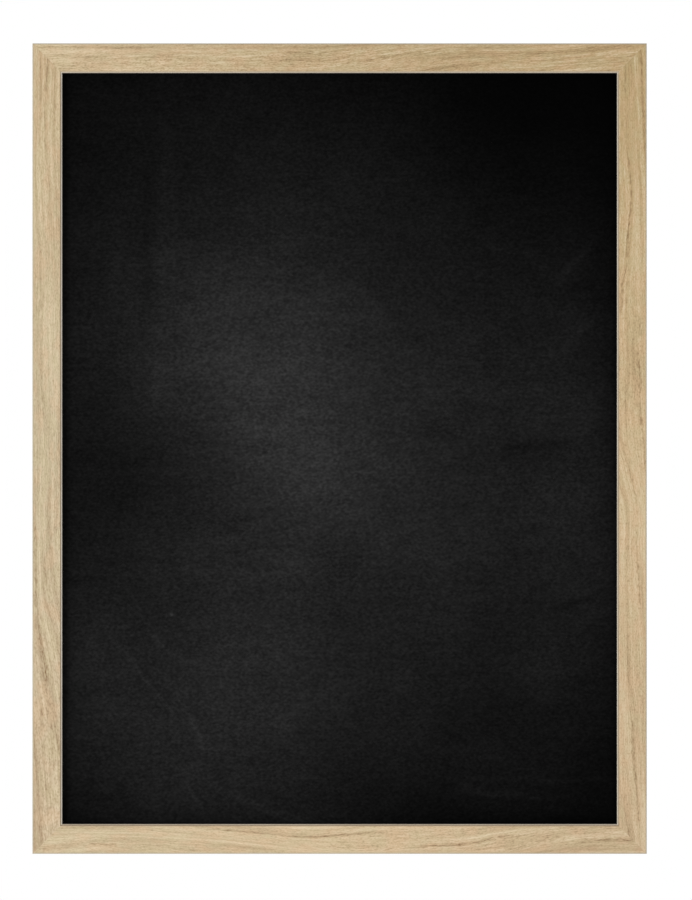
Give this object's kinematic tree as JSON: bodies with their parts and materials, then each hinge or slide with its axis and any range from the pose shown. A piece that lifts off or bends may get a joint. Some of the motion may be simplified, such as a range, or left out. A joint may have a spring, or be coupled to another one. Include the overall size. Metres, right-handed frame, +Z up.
{
  "type": "chalkboard",
  "caption": "Wall-hung portrait chalkboard: a matt black writing board in a flat, mitred, oak-veneered frame, with hinged D-ring hangers and rubber bumpers behind.",
  "frame": {"origin": "on the wall plane, midway between the two wall hooks, at the height where the hanger rings' bows rest on them", "axes": "+Z up along the portrait height, +Y from the front through the back into the wall, +X to the right seen from the front"},
  "size_m": [0.614, 0.025, 0.81],
  "materials": {
    "oak_veneer": "matte oiled oak veneer",
    "frame_core": "bare pale core",
    "chalk_surface": "matte black with wiped chalk haze",
    "fibre_board": "raw fibre board",
    "balance_sheet": "brown kraft",
    "point_steel": "bare spring steel",
    "nail_steel": "bare steel",
    "zinc_steel": "zinc plated",
    "ring_steel": "nickel plated wire",
    "bumper_rubber": "matte black rubber"
  },
  "bodies": {
    "chalkboard": {"balance_sheet": "balance_sheet", "board_core": "fibre_board", "board_point_bottom_rail_1": "point_steel", "board_point_bottom_rail_2": "point_steel", "board_point_bottom_rail_3": "point_steel", "board_point_left_stile_1": "point_steel", "board_point_left_stile_2": "point_steel", "board_point_left_stile_3": "point_steel", "board_point_left_stile_4": "point_steel", "board_point_right_stile_1": "point_steel", "board_point_right_stile_2": "point_steel", "board_point_right_stile_3": "point_steel", "board_point_right_stile_4": "point_steel", "board_point_top_rail_1": "point_steel", "board_point_top_rail_2": "point_steel", "board_point_top_rail_3": "point_steel", "bottom_rail_core": "frame_core", "bottom_rail_veneer": "oak_veneer", "corner_nail_bottom_left_inner": "nail_steel", "corner_nail_bottom_left_outer": "nail_steel", "corner_nail_bottom_right_inner": "nail_steel", "corner_nail_bottom_right_outer": "nail_steel", "corner_nail_top_left_inner": "nail_steel", "corner_nail_top_left_outer": "nail_steel", "corner_nail_top_right_inner": "nail_steel", "corner_nail_top_right_outer": "nail_steel", "left_hanger_screw_lower": "zinc_steel", "left_hanger_screw_upper": "zinc_steel", "left_hanger_strap": "zinc_steel", "left_stile_core": "frame_core", "left_stile_veneer": "oak_veneer", "left_wall_bumper": "bumper_rubber", "right_hanger_screw_lower": "zinc_steel", "right_hanger_screw_upper": "zinc_steel", "right_hanger_strap": "zinc_steel", "right_stile_core": "frame_core", "right_stile_veneer": "oak_veneer", "right_wall_bumper": "bumper_rubber", "top_rail_core": "frame_core", "top_rail_veneer": "oak_veneer", "writing_sheet": "chalk_surface"},
    "left_ring": {"left_hanger_ring": "ring_steel"},
    "right_ring": {"right_hanger_ring": "ring_steel"}
  },
  "joints": [
    {"name": "left_ring_hinge", "type": "hinge", "parent": "chalkboard", "child": "left_ring", "pos_m": [-0.295, -0.0026, -0.01095], "axis": [-1, 0, 0], "range_deg": [0, 180]},
    {"name": "right_ring_hinge", "type": "hinge", "parent": "chalkboard", "child": "right_ring", "pos_m": [0.295, -0.0026, -0.01095], "axis": [-1, 0, 0], "range_deg": [0, 180]}
  ]
}
